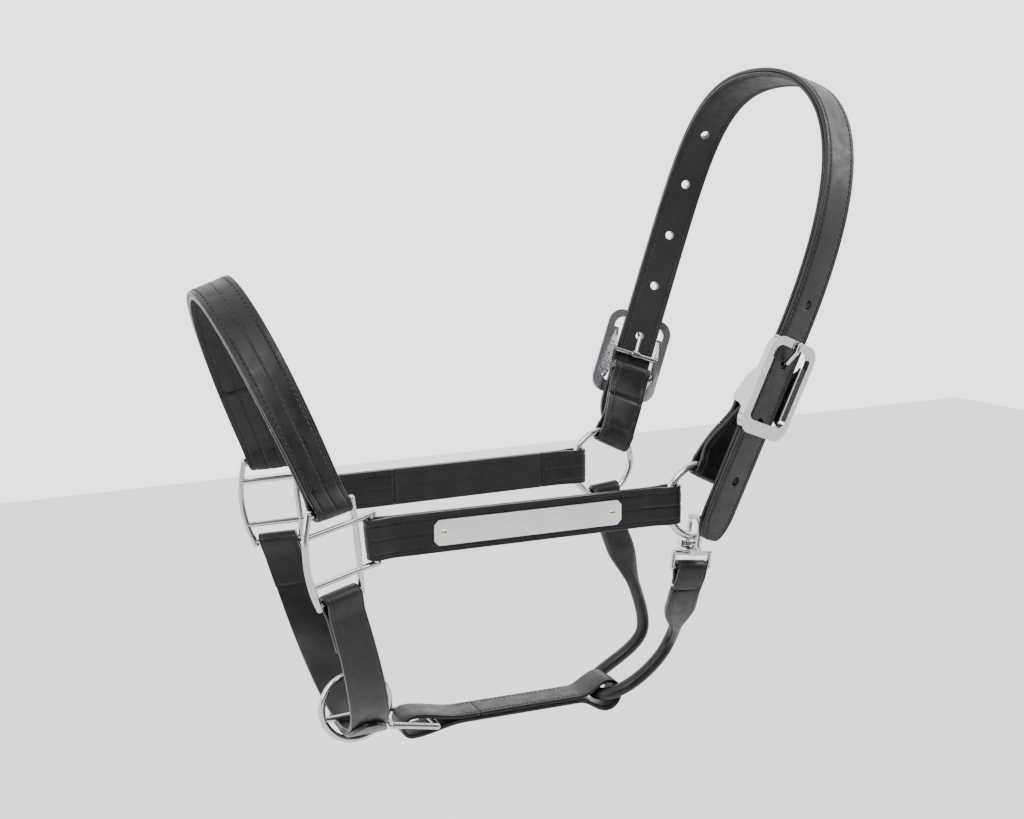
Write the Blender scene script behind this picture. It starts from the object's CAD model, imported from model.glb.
"""Looks of the leather headcollar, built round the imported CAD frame.

Every strap is swept along the same rail as its CAD ply, with a finer section: a
crowned face, sunk stitch lines, rounded edges and sewn thread.  Lengths are in
millimetres here and become metres in add_mesh().
"""
import math

import bmesh
import bpy
import numpy as np
from mathutils import Matrix, Vector

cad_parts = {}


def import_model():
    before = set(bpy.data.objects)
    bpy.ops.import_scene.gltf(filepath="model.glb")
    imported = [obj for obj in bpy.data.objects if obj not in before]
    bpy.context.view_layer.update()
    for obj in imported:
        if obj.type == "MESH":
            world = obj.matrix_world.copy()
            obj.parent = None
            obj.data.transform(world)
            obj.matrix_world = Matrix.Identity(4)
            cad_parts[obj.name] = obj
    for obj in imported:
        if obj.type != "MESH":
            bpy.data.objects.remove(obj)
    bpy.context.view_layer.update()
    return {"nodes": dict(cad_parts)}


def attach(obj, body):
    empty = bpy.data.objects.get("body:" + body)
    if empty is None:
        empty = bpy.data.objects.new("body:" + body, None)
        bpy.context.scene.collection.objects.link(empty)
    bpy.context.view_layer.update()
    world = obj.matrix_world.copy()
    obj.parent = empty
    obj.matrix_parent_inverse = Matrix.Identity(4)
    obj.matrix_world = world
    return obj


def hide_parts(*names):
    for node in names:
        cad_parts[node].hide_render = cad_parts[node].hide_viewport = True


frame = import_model()

MM = 0.001

# ------------------------------------------------ sizes shared with the frame
STRAP_W = 25.4
CROWN_W = 28.6
PLY_T = 2.8
LINING_T = 2.4
STANDING_W = 22
THROAT_W = 22
ROLL_D = 9
PLY_GAP = 0.12
BAR_GAP = 0.35
RING_DROP = 276
RING_FWD = 98
RING_HALF = 66
CHEEK_REACH = 251
SQUARE_HALF = 71
SQUARE_TOE = math.radians(22)
SQUARE_PITCH = math.radians(5)
NOSE_RISE = 124
NOSE_LEAN = 46
CHIN_DROP = 126
CHIN_BACK = 30
BUCKLE_FWD = 58
BUCKLE_DROP = 200
BUCKLE_HALF = 88
BUCKLE_TOE = math.radians(18)
RING_WIRE = 5
RING_ID = 44
SQUARE_BAR = 4
SQUARE_HOLE_W = 29
SQUARE_HOLE_H = 26
SQUARE_SLOT = 8
BUCKLE_L = 66
CHIN_WIRE = 4.8
CHIN_ID = 41
HOLE_D = 6.4
HOLE_PITCH = 41
PLATE_L = 127
TONGUE_BAR = 4
LEAD_IN = 9
SPREAD = 13
TURNED_END = 56
RING_TURNED = 19
BUTT_GAP = 0.6

STEP = 2.5              # between the sections of a strap
FACE_N = PLY_GAP / 2 + PLY_T            # a strap's outer face, from its rail
LINING_N = PLY_GAP / 2 + LINING_T       # the crown lining's inner face


# ------------------------------------------------------------------- vectors
def vec(*v):
    return np.array(v, float)


def unit(v):
    return v / np.linalg.norm(v)


def mix(a, b, k):
    return a + (b - a) * k


def smooth(k):
    return k * k * (3 - 2 * k)


def flip_y(v):
    return v * vec(1, -1, 1)


def power(v, e):
    return math.copysign(abs(v) ** e, v)


def hermite(a, ta, b, tb, k):
    return (a * (2 * k ** 3 - 3 * k * k + 1) + ta * (k ** 3 - 2 * k * k + k)
            + b * (3 * k * k - 2 * k ** 3) + tb * (k ** 3 - k * k))


def spaced(a, b, step=STEP):
    return np.linspace(a, b, max(2, int(abs(b - a) / step) + 1))


class Rail:
    """A strap's middle line with its width direction w and outward normal n."""

    def __init__(self, points, widths, side=1):
        self.p = np.array(points)
        self.s = np.r_[0, np.cumsum(np.linalg.norm(np.diff(self.p, axis=0), axis=1))]
        self.length = self.s[-1]
        self.t = np.gradient(self.p, axis=0)
        self.t /= np.linalg.norm(self.t, axis=1)[:, None]
        self.w = np.array([unit(w) for w in widths])
        self.n = side * np.cross(self.w, self.t)
        self.n /= np.linalg.norm(self.n, axis=1)[:, None]

    def pick(self, values, s):
        return np.array([np.interp(s, self.s, values[:, k]) for k in range(3)])

    def at(self, s):
        return (self.pick(self.p, s), unit(self.pick(self.t, s)),
                unit(self.pick(self.n, s)), unit(self.pick(self.w, s)))


# --------------------------------------------------------------------- paths
def fold(bar_s, way, bar_r, turned, spread=SPREAD):
    """A ply's [s, n] path round a bar, from its turned end to its outer side."""
    r = bar_r + BAR_GAP + PLY_T / 2
    n = (PLY_T + PLY_GAP) / 2
    wedge = [(bar_s + way * spread * (1 - k), mix(n, r, smooth(k))) for k in np.linspace(0, 0.92, 9)]
    inner = [(s, -n) for s in spaced(bar_s + way * turned, bar_s + way * spread)[:-1]]
    arc = [(bar_s - way * r * math.sin(a), -r * math.cos(a)) for a in np.linspace(0, math.pi, 19)]
    return inner + [(s, -v) for s, v in wedge] + arc + wedge[::-1]


def joined(first, last):
    """The whole strap between the folds at its two ends."""
    (a, n), (b, _) = first[-1], last[-1]
    return first + [(s, n) for s in spaced(a, b)[1:-1]] + last[::-1]


def ring_fold(w):
    return math.sqrt((RING_ID / 2) ** 2 - (w / 2) ** 2)


def ring_turn(at_s, way, w, turned):
    """Fold round a jaw ring's wire, held open as far as the wire curves."""
    bend = ring_fold(w) + RING_WIRE / 2
    flat = RING_ID / 2 + RING_WIRE - bend
    held = RING_WIRE / 2 + BAR_GAP + PLY_T / 2
    out = []
    for s, n in fold(at_s + way * bend, way, RING_WIRE / 2, turned, SPREAD + flat):
        d = way * (s - at_s) - bend
        out.append((s, math.copysign(held, n) if 0 < d < flat else n))
    return out


# ---------------------------------------------------------- places on the head
RING_R = RING_ID / 2 + RING_WIRE / 2
ring_c = vec(-RING_FWD, -RING_HALF, -RING_DROP)
ring_lead = RING_R + RING_WIRE / 2 + 2
square_c = vec(-RING_FWD - CHEEK_REACH, -SQUARE_HALF, -RING_DROP)
square_a = vec(math.cos(SQUARE_TOE) * math.cos(SQUARE_PITCH),
               math.sin(SQUARE_TOE) * math.cos(SQUARE_PITCH), math.sin(SQUARE_PITCH))
square_u = unit(vec(0, 0, 1) - square_a * square_a[2])
outer_w = SQUARE_HOLE_W / 2 + 1.5 * SQUARE_BAR + SQUARE_SLOT
outer_h = SQUARE_HOLE_H / 2 + 1.5 * SQUARE_BAR + SQUARE_SLOT

buckle_c = vec(-BUCKLE_FWD, -BUCKLE_HALF, -BUCKLE_DROP)
buckle_w = unit(vec(math.cos(BUCKLE_TOE), math.sin(BUCKLE_TOE), -0.36))
buckle_d = vec(-0.32, 0.11, -0.94)
buckle_d = unit(buckle_d - buckle_w * buckle_w.dot(buckle_d))
buckle_n = np.cross(buckle_d, buckle_w)
inner_face = LINING_T + PLY_GAP / 2
chape_n = -(inner_face + 2 * BAR_GAP + PLY_T + TONGUE_BAR / 2)
CHAPE_DOWN = 13
chape_bar_c = buckle_c + buckle_d * CHAPE_DOWN + buckle_n * chape_n
NEAR_TAIL = 108
FAR_TAIL = 56
TIP_LEN = 20
TONGUE_UP = 16


def crown_rail():
    base = buckle_c - buckle_d * (BUCKLE_L / 2 + 2)
    top = vec(0, 0, inner_face)
    full = 2.4
    top_w = unit(vec(BUCKLE_DROP, 0, -BUCKLE_FWD))

    def half(k):
        return hermite(base, -buckle_d * full * (top[2] - base[2]), top, vec(0, -full * base[1], 0), k)

    def width(k):
        return mix(buckle_w, top_w, smooth(k))

    ks = np.linspace(0, 1, 61)
    near = [buckle_c + buckle_d * d for d in spaced(NEAR_TAIL, 0, 5)]
    run = [buckle_c - buckle_d * d for d in spaced(0, BUCKLE_L / 2 + 2, 5)][1:-1]
    far = [flip_y(buckle_c + buckle_d * d) for d in spaced(0, FAR_TAIL, 5)]
    points = (near + run + [half(k) for k in ks] + [flip_y(half(k)) for k in ks[-2::-1]]
              + [flip_y(p) for p in run[::-1]] + far)
    widths = ([buckle_w] * (len(near) + len(run)) + [width(k) for k in ks]
              + [flip_y(width(k)) for k in ks[-2::-1]] + [flip_y(buckle_w)] * (len(run) + len(far)))
    return Rail(points, widths)


def arch_rail(curve, width, side=1):
    """Rail from the near square over an arch to the far square."""
    arcs = np.linspace(0, 180, 121)
    p = [curve(a) for a in arcs]
    t = unit(p[1] - p[0])
    start = p[0] - t * LEAD_IN
    return Rail([start] + p + [flip_y(start)],
                [square_a] + [width(a) for a in arcs] + [flip_y(square_a)], side)


def near_or_far(a):
    return square_a if a < 90 else flip_y(square_a)


def nose_rail():
    base = square_c + square_u * outer_h
    up = vec(-NOSE_LEAN, 0, NOSE_RISE)
    top_w = unit(vec(NOSE_RISE, 0, NOSE_LEAN))

    def curve(a):
        r = math.radians(a)
        return vec(base[0], base[1] * math.cos(r), base[2]) + up * math.sin(r)

    def width(a):
        return mix(near_or_far(a), top_w, smooth(math.sin(math.radians(a))))

    return arch_rail(curve, width)


chin_c = vec(square_c[0] + CHIN_BACK, 0, square_c[2] - CHIN_DROP)
chin_r = CHIN_ID / 2 + CHIN_WIRE / 2
CHIN_BAR_Z = -6
CHIN_BAR = 4
EYE_ROD = 4.2
EYE_LEN = 28
EYE_Z = -12
EYE_FALL = 7


def chin_rail():
    base = square_c - square_u * outer_h
    low = chin_c + vec(0, 0, CHIN_BAR_Z - CHIN_BAR / 2 - BAR_GAP)
    fall = low - vec(base[0], 0, base[2])
    shape = 2 / 2.2

    def curve(a):
        r = math.radians(a)
        return (vec(base[0], base[1] * power(math.cos(r), shape), base[2])
                + fall * power(math.sin(r), shape))

    def width(a):
        return mix(near_or_far(a), vec(1, 0, 0), smooth(math.sin(math.radians(a))))

    return arch_rail(curve, width, -1)


def chape_rail():
    run = chape_bar_c - ring_c
    e = unit(vec(run[0], 0, run[2]))
    ring_w = vec(e[2], 0, -e[0])
    a = ring_c + e * ring_lead
    reach = np.linalg.norm(chape_bar_c - a)
    ks = np.linspace(0, 1, 33)
    lead = [ring_c + e * (ring_lead * k) for k in np.linspace(0, 0.97, 10)]
    return Rail(lead + [hermite(a, e * reach, chape_bar_c, -buckle_d * reach, k) for k in ks]
                + [chape_bar_c - buckle_d * LEAD_IN],
                [ring_w] * len(lead) + [mix(ring_w, buckle_w, smooth(k)) for k in ks] + [buckle_w])


PLATE_FRONT = 37


def cheek_rail():
    bar = square_c + square_a * outer_w
    end = ring_c - vec(ring_lead, 0, 0)
    t = unit(end - bar)
    up = vec(0, 0, 1)
    return Rail([bar - t * LEAD_IN, bar, bar + t * 8, bar + t * (PLATE_FRONT - 8), mix(bar, end, 0.94),
                 end + vec(4, 0, 0), ring_c],
                [square_u, square_u, square_u, up, up, up, up], -1)


def hang(degrees):
    a = math.radians(degrees)
    return vec(math.sin(a), 0, -math.cos(a))


far_g = hang(5)
near_g = hang(-8)
SNAP_DROP = 21
SNAP_ROD = 3.4
near_top = ring_c + near_g * (RING_R + SNAP_DROP)
throat_low = vec(-RING_FWD - 44, 0, -RING_DROP - 150)


def throat_rail():
    knee = vec(-RING_FWD + 6, RING_HALF * 0.26, -RING_DROP - 119)
    at_knee = vec(-25, -8, -50)

    def half(end, g, k):
        if k < 1:
            return hermite(end, g * 105 - vec(0, 30, 0), knee, at_knee, k)
        return hermite(knee, at_knee, throat_low, vec(0, -82, 0), k - 1)

    far_c = flip_y(ring_c)
    a = far_c + far_g * ring_lead
    b = near_top + near_g * 8
    ks = np.linspace(0, 2, 101)
    p = ([far_c + far_g * (ring_lead * k) for k in np.linspace(0, 0.97, 10)]
         + [half(a, far_g, k) for k in ks]
         + [flip_y(half(flip_y(b), near_g, k)) for k in ks[-2::-1]]
         + [near_top, near_top - near_g * LEAD_IN])
    first = np.cross(vec(0, -1, 0), far_g)
    last = np.cross(vec(0, -1, 0), near_g)
    turn = np.clip((np.arange(len(p)) - 25) / 170, 0, 1)
    return Rail(p, [mix(first, last, smooth(k)) for k in turn], -1)


STAND_SLACK = 15
STAND_OPEN = 3
LOOP_OPEN = 4.2
LOOP_BACK = 5.5
STAND_TURNED = 62
STAND_LEAD = 14


def stand_rail():
    front = vec(chin_c[0] + chin_r + EYE_LEN, 0, chin_c[2] + EYE_Z - EYE_FALL)
    d = unit(throat_low - front)
    a = front - d * (STAND_SLACK + STAND_LEAD)
    b = throat_low + d * (ROLL_D / 2 + LOOP_OPEN + LOOP_BACK + 5)
    rail = Rail([mix(a, b, k) for k in np.linspace(0, 1, 7)], [vec(0, 1, 0)] * 7, -1)
    return rail, np.linalg.norm(throat_low - front) + STAND_SLACK + STAND_LEAD + LOOP_BACK


# ------------------------------------------------------------------ materials
def material(name):
    m = bpy.data.materials.new(name)
    m.use_nodes = True
    nodes = m.node_tree.nodes
    return m, nodes, m.node_tree.links, nodes["Principled BSDF"]


def noise(nodes, links, coords, scale, detail=4):
    n = nodes.new("ShaderNodeTexNoise")
    n.inputs["Scale"].default_value = scale
    n.inputs["Detail"].default_value = detail
    links.new(coords.outputs["Object"], n.inputs["Vector"])
    return n


def ramp(nodes, links, source, low, high, span=(0.35, 0.65)):
    r = nodes.new("ShaderNodeValToRGB")
    for element, at, colour in zip(r.color_ramp.elements, span, (low, high)):
        element.position = at
        element.color = colour if len(colour) == 4 else (*colour, 1)
    links.new(source, r.inputs["Fac"])
    return r.outputs["Color"]


def grey(v):
    return (v, v, v)


def leather(name, dark, light, rough, grain, grain_depth):
    """Dyed leather: pores, a cloudy colour and a patchy wax finish."""
    m, nodes, links, shader = material(name)
    coords = nodes.new("ShaderNodeTexCoord")
    cloud = noise(nodes, links, coords, 60)
    links.new(ramp(nodes, links, cloud.outputs["Fac"], dark, light), shader.inputs["Base Color"])
    wax = noise(nodes, links, coords, 140, 6)
    finish = ramp(nodes, links, wax.outputs["Fac"], grey(rough[0]), grey(rough[1]))
    links.new(finish, shader.inputs["Roughness"])
    pores = nodes.new("ShaderNodeTexVoronoi")
    pores.inputs["Scale"].default_value = grain
    links.new(coords.outputs["Object"], pores.inputs["Vector"])
    fine = noise(nodes, links, coords, grain * 1.7, 3)
    height = nodes.new("ShaderNodeMath")
    height.operation = "ADD"
    links.new(pores.outputs["Distance"], height.inputs[0])
    links.new(fine.outputs["Fac"], height.inputs[1])
    bump = nodes.new("ShaderNodeBump")
    bump.inputs["Strength"].default_value = 0.55
    bump.inputs["Distance"].default_value = grain_depth * MM
    links.new(height.outputs["Value"], bump.inputs["Height"])
    links.new(bump.outputs["Normal"], shader.inputs["Normal"])
    shader.inputs["Specular IOR Level"].default_value = 0.32
    return m


def metal(name, colour, rough, scratch, stretch=(1, 1, 1)):
    """Polished metal with fine polishing lines and a faint bloom."""
    m, nodes, links, shader = material(name)
    shader.inputs["Metallic"].default_value = 1
    coords = nodes.new("ShaderNodeTexCoord")
    bloom = noise(nodes, links, coords, 45, 5)
    links.new(ramp(nodes, links, bloom.outputs["Fac"], [c * 0.93 for c in colour], colour),
              shader.inputs["Base Color"])
    mapping = nodes.new("ShaderNodeMapping")
    mapping.inputs["Scale"].default_value = stretch
    links.new(coords.outputs["Object"], mapping.inputs["Vector"])
    lines = nodes.new("ShaderNodeTexNoise")
    lines.inputs["Scale"].default_value = 900
    lines.inputs["Detail"].default_value = 5
    links.new(mapping.outputs["Vector"], lines.inputs["Vector"])
    finish = ramp(nodes, links, lines.outputs["Fac"], grey(rough[0]), grey(rough[1]))
    links.new(finish, shader.inputs["Roughness"])
    bump = nodes.new("ShaderNodeBump")
    bump.inputs["Strength"].default_value = scratch
    bump.inputs["Distance"].default_value = 0.02 * MM
    links.new(lines.outputs["Fac"], bump.inputs["Height"])
    links.new(bump.outputs["Normal"], shader.inputs["Normal"])
    return m


FACE = leather("bridle_face", (0.0022, 0.0025, 0.0026), (0.005, 0.0055, 0.0056), (0.34, 0.5), 1500, 0.05)
EDGE = leather("burnished_edge", (0.002, 0.002, 0.0022), (0.004, 0.004, 0.0042), (0.24, 0.38), 700, 0.02)
LINING = leather("lining_face", (0.004, 0.0042, 0.0042), (0.008, 0.0082, 0.008), (0.5, 0.66), 1100, 0.08)
THREAD = leather("waxed_thread", (0.006, 0.006, 0.006), (0.014, 0.014, 0.0135), (0.4, 0.55), 4000, 0.03)
STEEL = metal("polished_stainless", (0.5, 0.505, 0.52), (0.08, 0.18), 0.15)
PLATE = metal("brushed_plate", (0.8, 0.8, 0.805), (0.26, 0.38), 0.25, (0.06, 1, 1))
BRASS = metal("brass_rivet", (0.8, 0.68, 0.42), (0.14, 0.26), 0.2)


# --------------------------------------------------------------------- meshes
def add_mesh(name, verts, faces, materials, indices=None, smooth_shade=True):
    mesh = bpy.data.meshes.new(name)
    mesh.from_pydata([tuple(v * MM) for v in verts], [], faces)
    for m in materials:
        mesh.materials.append(m)
    if indices is not None:
        mesh.polygons.foreach_set("material_index", indices)
    mesh.polygons.foreach_set("use_smooth", [smooth_shade] * len(mesh.polygons))
    mesh.validate()
    obj = bpy.data.objects.new(name, mesh)
    bpy.context.scene.collection.objects.link(obj)
    bm = bmesh.new()
    bm.from_mesh(mesh)
    bmesh.ops.recalc_face_normals(bm, faces=bm.faces)
    bm.to_mesh(mesh)
    bm.free()
    return obj


def place(obj, body, slot, *nodes):
    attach(obj, body)
    if nodes:
        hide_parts(*nodes)
    return obj


GROOVE = 0.35           # depth of the groove that a stitch row lies in
GROOVE_W = 0.5
CREASE_IN = 1.9         # from the edge to the creased line along it
CREASE = 0.2
CREASE_W = 0.25
EDGE_R = 0.85


def profile(w, t, rows=(), crown=0.3):
    """Half-open loop of (x, y, is_edge): a crowned top with sunk lines, round edges, a flat back."""
    half = w / 2
    corner = np.linspace(0, math.pi / 2, 5)
    spread = np.linspace(-half + EDGE_R, half - EDGE_R, 19)
    at_rows = [r + d for r in rows for d in (-1, -0.45, 0, 0.45, 1)]
    at_creases = [k * (half - CREASE_IN + d) for k in (-1, 1) for d in (-0.35, 0, 0.35)]
    xs = sorted({*spread, *at_rows, *at_creases})
    top = []
    for x in xs:
        if abs(x) > half - EDGE_R:
            continue
        y = t / 2 + crown * (1 - (x / half) ** 2)
        y -= crown * 0.5
        for r in rows:
            y -= GROOVE * math.exp(-((x - r) / GROOVE_W) ** 2)
        y -= CREASE * math.exp(-((abs(x) - half + CREASE_IN) / CREASE_W) ** 2)
        top.append((x, y, False))
    lift = top[-1][1]
    x0, y_top, y_low = half - EDGE_R, lift - EDGE_R, -t / 2 + EDGE_R
    right = [(x0 + EDGE_R * math.sin(a), y_top + EDGE_R * math.cos(a), True) for a in corner[1:]]
    right += [(x0 + EDGE_R * math.cos(a), y_low - EDGE_R * math.sin(a), True) for a in corner]
    left = [(-x, y, e) for x, y, e in right[::-1]]
    back = [(x, -t / 2, False) for x in np.linspace(half - EDGE_R, -half + EDGE_R, 7)[1:-1]]
    return top + right + back + left


def sweep(rail, path, section, widths=None):
    """Sweeps the section along a path of (s, n) on the rail; widths scales its width."""
    path = np.array(path)
    step = np.gradient(path, axis=0)
    step /= np.maximum(np.linalg.norm(step, axis=1), 1e-9)[:, None]
    k = len(section)
    verts = []
    for i, (s, n) in enumerate(path):
        p, t, nn, w = rail.at(s)
        up = nn * step[i][0] - t * step[i][1]
        scale = 1 if widths is None else widths[i]
        verts += [p + nn * n + w * (x * scale) + up * y for x, y, _ in section]
    faces, indices = [], []
    for i in range(len(path) - 1):
        for j in range(k):
            a, b = i * k + j, i * k + (j + 1) % k
            faces.append((a, a + k, b + k, b))
            indices.append(1 if section[j][2] and section[(j + 1) % k][2] else 0)
    faces += [tuple(range(k)), tuple((len(path) - 1) * k + j for j in range(k - 1, -1, -1))]
    indices += [1, 1]
    return verts, faces, indices


def strap(name, rail, path, w, t, rows, body, node, slot="strap_leather", face=None, mirror=False,
          widths=None, crown=0.3):
    """A swept strap that takes the place of its CAD node."""
    verts, faces, indices = sweep(rail, path, profile(w, t, rows, crown), widths)
    if mirror:
        verts = [flip_y(v) for v in verts]
    obj = add_mesh(name, verts, faces, [face or FACE, EDGE], indices)
    return place(obj, body, slot, node)


# A stitch is a short thread, thick in the middle, sunk at both ends
STITCH = 3.5
THREAD_R = 0.42


def stitch_mesh(points):
    """points: (place, along, up) for each stitch."""
    verts, faces = [], []
    rings = [(-0.5, 0.25, -0.35), (-0.36, 0.8, 0.05), (0, 1, 0.25), (0.36, 0.8, 0.05), (0.5, 0.25, -0.35)]
    sides = 6
    for p, along, up in points:
        across = unit(np.cross(up, along))
        base = len(verts)
        for at, size, lift in rings:
            for j in range(sides):
                a = 2 * math.pi * j / sides
                verts.append(p + along * (at * STITCH * 0.8) + across * (THREAD_R * size * math.cos(a))
                             + up * (THREAD_R * (size * 0.8 * math.sin(a) + lift)))
        for i in range(len(rings) - 1):
            for j in range(sides):
                a, b = base + i * sides + j, base + i * sides + (j + 1) % sides
                faces.append((a, a + sides, b + sides, b))
        faces.append(tuple(base + j for j in range(sides)))
        faces.append(tuple(base + (len(rings) - 1) * sides + j for j in range(sides - 1, -1, -1)))
    return verts, faces


def row(rail, s0, s1, x, n):
    """Stitches along the rail at the offset x across it, on the face at n."""
    out = []
    for s in np.arange(s0, s1, STITCH):
        p, t, nn, w = rail.at(s)
        face = math.copysign(1, n)
        out.append((p + w * x + nn * n, unit(t + w * 0.12 * face), nn * face))
    return out


def cross_row(rail, s, half, n):
    """Stitches straight across the rail at s."""
    p, t, nn, w = rail.at(s)
    face = math.copysign(1, n)
    return [(p + w * x + nn * n, w, nn * face) for x in np.arange(-half, half + 0.1, STITCH)]


def sewn(name, points, body, mirror=False):
    """All the stitches of one strap as one piece."""
    verts, faces = stitch_mesh(points)
    if mirror:
        verts = [flip_y(v) for v in verts]
    return place(add_mesh(name, verts, faces, [THREAD]), body, "strap_leather")


ROW_IN = 3.6            # from a strap's edge to its stitch line
SUNK = 0.1              # depth of the thread under the face

MID_T = 2 * PLY_T + PLY_GAP
PLY_N = (PLY_T + PLY_GAP) / 2       # middle of a strap's outer ply, from its rail
SEWN_N = FACE_N - SUNK              # thread on a strap's face
BOTH_FACES = (SEWN_N, -SEWN_N)


def tip_width(w, d):
    """Width of a strap of width w at the distance d from its rounded tip."""
    return w if d >= TIP_LEN else w * (0.3 + 0.7 * math.sqrt(1 - (1 - max(d, 0) / TIP_LEN) ** 2))


def fine_tips(a, b):
    """Stations close together at both rounded ends."""
    near = np.array([0, 0.3, 0.8, 1.6, 3, 5, 7.5, 10.5, 14, 17, TIP_LEN])
    return np.r_[a + near, spaced(a + TIP_LEN, b - TIP_LEN)[1:-1], (b - near)[::-1]]


def edge_rows(rail, s0, s1, w, n):
    """The two rows of stitches along a strap's edges."""
    inset = w / 2 - ROW_IN
    return row(rail, s0, s1, -inset, n) + row(rail, s0, s1, inset, n)


# --------------------------------------------------------------------- crown
crown = crown_rail()
near_hole = NEAR_TAIL + TONGUE_UP
far_hole = crown.length - FAR_TAIL - TONGUE_UP
crown_holes = ([near_hole + k * HOLE_PITCH for k in range(-2, 2)]
               + [far_hole - k * HOLE_PITCH for k in range(-1, 5)])


def punch_holes(obj):
    """Cuts the crown's round holes through obj."""
    cutters = bmesh.new()
    for s in crown_holes:
        p, t_dir, _, w = crown.at(s)
        up = unit(np.cross(t_dir, w))
        turn = Matrix((t_dir, np.cross(up, t_dir), up)).transposed().to_4x4()
        turn.translation = Vector(p * MM)
        bmesh.ops.create_cone(cutters, cap_ends=True, segments=40, radius1=HOLE_D / 2 * MM,
                              radius2=HOLE_D / 2 * MM, depth=24 * MM, matrix=turn)
    mesh = bpy.data.meshes.new(obj.name + "_punch")
    cutters.to_mesh(mesh)
    cutters.free()
    mesh.materials.append(EDGE)
    punch = bpy.data.objects.new(obj.name + "_punch", mesh)
    bpy.context.scene.collection.objects.link(punch)
    cut = obj.modifiers.new("holes", "BOOLEAN")
    cut.operation = "DIFFERENCE"
    cut.solver = "EXACT"
    cut.object = punch
    baked = bpy.data.meshes.new_from_object(obj.evaluated_get(bpy.context.evaluated_depsgraph_get()))
    obj.modifiers.clear()
    obj.data = baked
    bpy.data.objects.remove(punch)


def crown_ply(name, node, n, t, slot, face, inward):
    stations = fine_tips(0, crown.length)
    path = [(s, n) for s in stations]
    widths = [tip_width(CROWN_W, min(s, crown.length - s)) / CROWN_W for s in stations]
    if inward:
        path, widths = path[::-1], widths[::-1]
    half = CROWN_W / 2 - ROW_IN
    verts, faces, indices = sweep(crown, path, profile(CROWN_W, t, (-half, half), 0.2), widths)
    obj = add_mesh(name, verts, faces, [face, EDGE], indices)
    punch_holes(obj)
    return place(obj, "crown", slot, node)


crown_ply("crown_outer", "crown_strap", PLY_N, PLY_T, "strap_leather", FACE, False)
crown_ply("crown_inner", "crown_lining", -(LINING_T + PLY_GAP) / 2, LINING_T, "lining_leather", LINING, True)


def tail_rows(n):
    """Two rows along the crown that meet round each rounded tail."""
    out = []
    for k in (-1, 1):
        for s in np.arange(5.5, crown.length - 5.5, STITCH):
            end = min(s, crown.length - s)
            x = k * min(CROWN_W / 2, tip_width(CROWN_W, end - 2) / 2) - k * ROW_IN
            p, t, nn, w = crown.at(s)
            face = math.copysign(1, n)
            out.append((p + w * x + nn * n, t, nn * face))
    for s in (5.5, crown.length - 5.5):
        out += cross_row(crown, s, 3.5, n)
    return out


sewn("crown_stitches", tail_rows(SEWN_N) + tail_rows(-(LINING_N - SUNK)), "crown")


# -------------------------------------------------------------------- chapes
def chape(prefix, mirror):
    rail = chape_rail()
    bar_s = rail.length - LEAD_IN
    seam = (ring_lead + bar_s) / 2
    wire = ring_fold(CROWN_W) + RING_WIRE / 2
    ring_end = ring_turn(0, 1, CROWN_W, seam - BUTT_GAP / 2 - wire)
    bar_end = fold(bar_s, -1, TONGUE_BAR / 2, bar_s - seam - BUTT_GAP / 2)
    half = CROWN_W / 2 - ROW_IN
    strap(prefix + "_chape_leather", rail, joined(ring_end, bar_end), CROWN_W, PLY_T, (-half, half), "crown",
          prefix + "_chape", mirror=mirror)
    s0, s1 = wire + RING_TURNED - 3, bar_s - SPREAD - 3
    points = []
    for n in BOTH_FACES:
        points += edge_rows(rail, s0, s1, CROWN_W, n)
        points += cross_row(rail, s0, half, n) + cross_row(rail, s1, half, n)
    sewn(prefix + "_chape_stitches", points, "crown", mirror)


chape("near", False)
chape("far", True)


# -------------------------------------------------------------------- cheeks
def cheek(prefix, mirror):
    rail = cheek_rail()
    half = STRAP_W / 2 - ROW_IN
    wire = ring_fold(STRAP_W) + RING_WIRE / 2
    path = joined(fold(LEAD_IN, 1, SQUARE_BAR / 2, TURNED_END),
                  ring_turn(rail.length, -1, STRAP_W, RING_TURNED + SPREAD))
    strap(prefix + "_cheek_outer", rail, path, STRAP_W, PLY_T, (-half, 0, half), "front",
          prefix + "_cheek_strap", mirror=mirror, crown=0.1)
    lining_end = rail.length - wire - RING_TURNED - SPREAD
    inner = [(s, -PLY_N) for s in spaced(LEAD_IN + TURNED_END + BUTT_GAP, lining_end - BUTT_GAP)][::-1]
    strap(prefix + "_cheek_inner", rail, inner, STRAP_W, PLY_T, (-half, 0, half), "front",
          prefix + "_cheek_lining", "lining_leather", LINING, mirror, crown=0.1)
    s0, s1 = LEAD_IN + SPREAD + 2, rail.length - wire - RING_TURNED - 3
    points = []
    for n in BOTH_FACES:
        points += edge_rows(rail, s0, s1, STRAP_W, n)
        points += cross_row(rail, s1, half, n)
    plate0 = LEAD_IN + PLATE_FRONT - 2
    plate1 = plate0 + PLATE_L + 4
    if mirror:
        points += row(rail, s0, s1, 0, SEWN_N)
    else:
        points += row(rail, s0, plate0, 0, SEWN_N) + row(rail, plate1, s1, 0, SEWN_N)
    points += row(rail, s0, s1, 0, -SEWN_N)
    sewn(prefix + "_cheek_stitches", points, "front", mirror)


cheek("near", False)
cheek("far", True)


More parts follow.
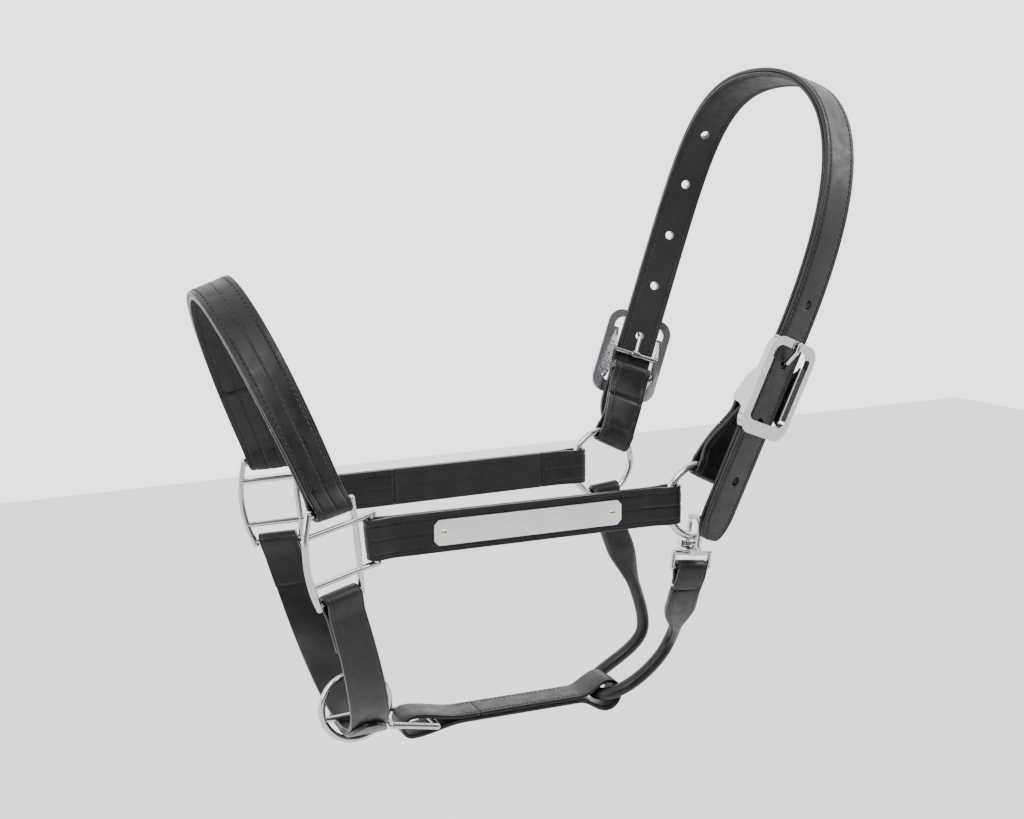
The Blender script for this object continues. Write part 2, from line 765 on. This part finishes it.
# ------------------------------------------------------------------ noseband
nose = nose_rail()
nose_half = STRAP_W / 2 - ROW_IN
nose_path = joined(fold(LEAD_IN, 1, SQUARE_BAR / 2, TURNED_END),
                   fold(nose.length - LEAD_IN, -1, SQUARE_BAR / 2, TURNED_END))
strap("noseband_outer", nose, nose_path, STRAP_W, PLY_T, (-nose_half, 0, nose_half), "front",
      "noseband_strap")
nose_inset = LEAD_IN + TURNED_END + BUTT_GAP
nose_inner = [(s, -PLY_N) for s in spaced(nose_inset, nose.length - nose_inset)][::-1]
strap("noseband_inner", nose, nose_inner, STRAP_W, PLY_T, (-nose_half, 0, nose_half), "front",
      "noseband_lining", "lining_leather", LINING)
nose_rows = []
for face_n in BOTH_FACES:
    nose_s = (LEAD_IN + SPREAD + 2, nose.length - LEAD_IN - SPREAD - 2)
    nose_rows += edge_rows(nose, *nose_s, STRAP_W, face_n) + row(nose, *nose_s, 0, face_n)
    for s in nose_s:
        nose_rows += cross_row(nose, s, nose_half, face_n)
sewn("noseband_stitches", nose_rows, "front")

# ---------------------------------------------------------------- chin strap
chin = chin_rail()
CHIN_TURNED = 34
chin_path = joined(fold(LEAD_IN, 1, SQUARE_BAR / 2, CHIN_TURNED),
                   fold(chin.length - LEAD_IN, -1, SQUARE_BAR / 2, CHIN_TURNED))
strap("chin_outer", chin, chin_path, STRAP_W, PLY_T, (), "front", "chin_strap", crown=0.1)
CHIN_TIP_UP = 46
CHIN_TIP_BACK = 16
tip = chin.length / 2 - CHIN_TIP_UP
tip_end = chin.length / 2 + CHIN_TIP_BACK
tip_s = np.r_[fine_tips(tip, tip + 2 * TIP_LEN)[:11], spaced(tip + TIP_LEN, tip_end)[1:]]
tip_widths = [tip_width(STRAP_W, s - tip) / STRAP_W for s in tip_s]
strap("chin_end_leather", chin, [(s, 3 * PLY_N) for s in tip_s], STRAP_W, PLY_T, (), "front",
      "chin_strap_end", widths=tip_widths, crown=0.1)
chin_rows = []
for s in (LEAD_IN + SPREAD + 2, LEAD_IN + CHIN_TURNED - 4):
    for end in (s, chin.length - s):
        for face_n in BOTH_FACES:
            chin_rows += cross_row(chin, end, nose_half, face_n)
sewn("chin_stitches", chin_rows, "front")

# -------------------------------------------------------------- throat strap
throat = throat_rail()
FAR_S = ring_lead + SPREAD + 2
NEAR_S = throat.length - LEAD_IN - SPREAD - 2


FAR_FLAT = 22
NEAR_FLAT = 20
TAPER = 34
SEAM_AT = math.radians(250)     # the roll's sewn seam, round its section


def roundness(s):
    """0 where the throat strap is flat and 1 where it is rolled."""
    return smooth(min(max(min(s - FAR_S - FAR_FLAT, NEAR_S - NEAR_FLAT - s) / TAPER, 0), 1))


def throat_body():
    """The strap between its two folded ends."""
    stations = spaced(FAR_S, NEAR_S)
    angles = np.radians(np.arange(0, 360, 10))
    verts, faces, indices = [], [], []
    for s in stations:
        p, t, _, w = throat.at(s)
        w = unit(w - t * w.dot(t))
        n = np.cross(t, w)
        k = roundness(s)
        half_w, half_t, e = mix(THROAT_W, ROLL_D, k) / 2, mix(MID_T, ROLL_D, k) / 2, mix(0.3, 1, k)
        for a in angles:
            seam = 0.45 * k * math.exp(-((a - SEAM_AT) / 0.1) ** 2)
            x = (half_w - seam) * power(math.cos(a), e)
            y = (half_t - seam) * power(math.sin(a), e)
            verts.append(p + w * x + n * y)
    m = len(angles)
    for i in range(len(stations) - 1):
        for j in range(m):
            a, b = i * m + j, i * m + (j + 1) % m
            faces.append((a, a + m, b + m, b))
            flat = roundness(stations[i]) < 0.3
            indices.append(1 if flat and abs(math.cos(angles[j])) > 0.93 else 0)
    faces += [tuple(range(m)), tuple((len(stations) - 1) * m + j for j in range(m - 1, -1, -1))]
    indices += [0, 0]
    return verts, faces, indices


def merge(parts):
    """One mesh from several (verts, faces, indices)."""
    verts, faces, indices = [], [], []
    for v, f, i in parts:
        base = len(verts)
        verts += v
        faces += [tuple(k + base for k in face) for face in f]
        indices += i
    return verts, faces, indices


throat_turn = ring_turn(0, 1, THROAT_W, FAR_S - ring_fold(THROAT_W) - RING_WIRE / 2)
throat_bar = fold(throat.length - LEAD_IN, -1, SNAP_ROD / 2, SPREAD + 2)[::-1]
leaf = profile(THROAT_W, PLY_T, (), 0.1)
throat_mesh = merge([throat_body(), sweep(throat, throat_turn, leaf), sweep(throat, throat_bar, leaf)])
place(add_mesh("throat_leather", *throat_mesh[:2], [FACE, EDGE], throat_mesh[2]), "throat", "strap_leather",
      "throat_strap")
throat_rows = []
for side in (-1, 1):
    for s0, s1 in ((FAR_S - 2, FAR_S + 40), (NEAR_S - 38, NEAR_S + 2)):
        for s in np.arange(s0, s1, STITCH):
            p, t, _, w = throat.at(s)
            w = unit(w - t * w.dot(t))
            n = np.cross(t, w)
            k = roundness(s)
            for face in (-1, 1):
                x = side * (mix(THROAT_W, ROLL_D, k) / 2 - 3)
                lift = mix(MID_T, ROLL_D, k) / 2 - 0.1 - 0.6 * k
                throat_rows.append((p + w * x + n * (face * lift), t, n * face))
sewn("throat_stitches", throat_rows, "throat")

# ------------------------------------------------------------ standing strap
stand, stand_rear = stand_rail()
STAND_SPREAD = 22
stand_seam = BUTT_GAP / 2
stand_open = fold(STAND_LEAD, 1, EYE_ROD / 2 + STAND_OPEN, STAND_TURNED - STAND_LEAD - stand_seam,
                  STAND_SLACK + STAND_SPREAD)
stand_loop = fold(stand_rear, -1, ROLL_D / 2 + LOOP_OPEN, stand_rear - STAND_TURNED - stand_seam,
                  STAND_SPREAD)
stand_path = [(s, -n) for s, n in joined(stand_open, stand_loop)][::-1]
strap("standing_leather", stand, stand_path, STANDING_W, PLY_T, (), "standing", "standing_strap")
stand_rows = []
stand_s = (STAND_LEAD + STAND_SLACK + 24, stand_rear - 25)
for n in BOTH_FACES:
    for s in stand_s:
        stand_rows += cross_row(stand, s, STANDING_W / 2 - ROW_IN, n)
    stand_rows += edge_rows(stand, *stand_s, STANDING_W, n)
sewn("standing_stitches", stand_rows, "standing")

# --------------------------------------------------------------------- metal
METALS = {"stainless": STEEL, "plate": PLATE, "rivet_brass": BRASS}
METAL_SLOTS = {"name_plate": "plate", "plate_rivets": "rivet_brass"}
METAL_NODES = ("near_buckle_frame", "far_buckle_frame", "near_buckle_tongue", "far_buckle_tongue",
               "near_jaw_ring", "far_jaw_ring", "near_square", "far_square", "chin_ring",
               "snap_body", "snap_gate", "snap_pin", "snap_spring", *METAL_SLOTS)
for node in METAL_NODES:
    for held in frame["nodes"][node].material_slots:
        held.material = METALS[METAL_SLOTS.get(node, "stainless")]


# -------------------------------------------------------------------- lights
def floor(level, reach):
    signs = ((-1, -1), (1, -1), (1, 1), (-1, 1))
    corners = [vec(x * reach, y * reach, level) for x, y in signs]
    m, _, _, shader = material("floor")
    shader.inputs["Base Color"].default_value = (1, 1, 1, 1)
    shader.inputs["Roughness"].default_value = 0.9
    add_mesh("floor", corners, [(0, 1, 2, 3)], [m])


floor(-3000, 12000)


def world(strength):
    """White all round, except behind the camera, so that metal has something dark to show."""
    w = bpy.data.worlds.new("studio")
    bpy.context.scene.world = w
    w.use_nodes = True
    nodes, links = w.node_tree.nodes, w.node_tree.links
    coords = nodes.new("ShaderNodeTexCoord")
    split = nodes.new("ShaderNodeSeparateXYZ")
    links.new(coords.outputs["Generated"], split.inputs["Vector"])
    depth = nodes.new("ShaderNodeMapRange")
    depth.inputs["From Min"].default_value = -1
    links.new(split.outputs["Y"], depth.inputs["Value"])
    sky = ramp(nodes, links, depth.outputs["Result"], (0.1, 0.1, 0.105), (1, 1, 1), (0.22, 0.55))
    links.new(sky, nodes["Background"].inputs["Color"])
    nodes["Background"].inputs["Strength"].default_value = strength


def area(name, place_at, aim, size, power_w):
    light = bpy.data.lights.new(name, "AREA")
    light.shape = "RECTANGLE"
    light.size, light.size_y = size
    light.energy = power_w
    obj = bpy.data.objects.new(name, light)
    obj.location = place_at
    obj.rotation_euler = (Vector(aim) - Vector(place_at)).to_track_quat("-Z", "Y").to_euler()
    bpy.context.scene.collection.objects.link(obj)


world(2.6)
middle = (-0.2, 0, -0.22)
area("key", (-0.5, -1.3, 0.9), middle, (0.9, 0.7), 22)
area("front", (-1.5, -0.5, 0.2), middle, (0.5, 1.0), 12)
area("rear", (0.9, -0.4, 0.5), middle, (0.4, 0.9), 10)

# -------------------------------------------------------------------- camera
CAMERA_AZ = math.radians(-24.8)
CAMERA_EL = math.radians(10.1)
CAMERA_ROLL = math.radians(-0.97)
CAMERA_FAR = 837
CAMERA_AIM = vec(-202.7, 0, -215.8)
CAMERA_LENS = 44.13


def add_camera():
    back = vec(math.sin(CAMERA_AZ) * math.cos(CAMERA_EL), -math.cos(CAMERA_AZ) * math.cos(CAMERA_EL),
               math.sin(CAMERA_EL))
    level = unit(np.cross(vec(0, 0, 1), back))
    right = level * math.cos(CAMERA_ROLL) + np.cross(back, level) * math.sin(CAMERA_ROLL)
    turn = Matrix((right, np.cross(back, right), back)).transposed().to_4x4()
    turn.translation = Vector((CAMERA_AIM + back * CAMERA_FAR) * MM)
    data = bpy.data.cameras.new("camera")
    data.lens = CAMERA_LENS
    data.sensor_width = 36
    camera = bpy.data.objects.new("camera", data)
    camera.matrix_world = turn
    bpy.context.scene.collection.objects.link(camera)
    bpy.context.scene.camera = camera


add_camera()
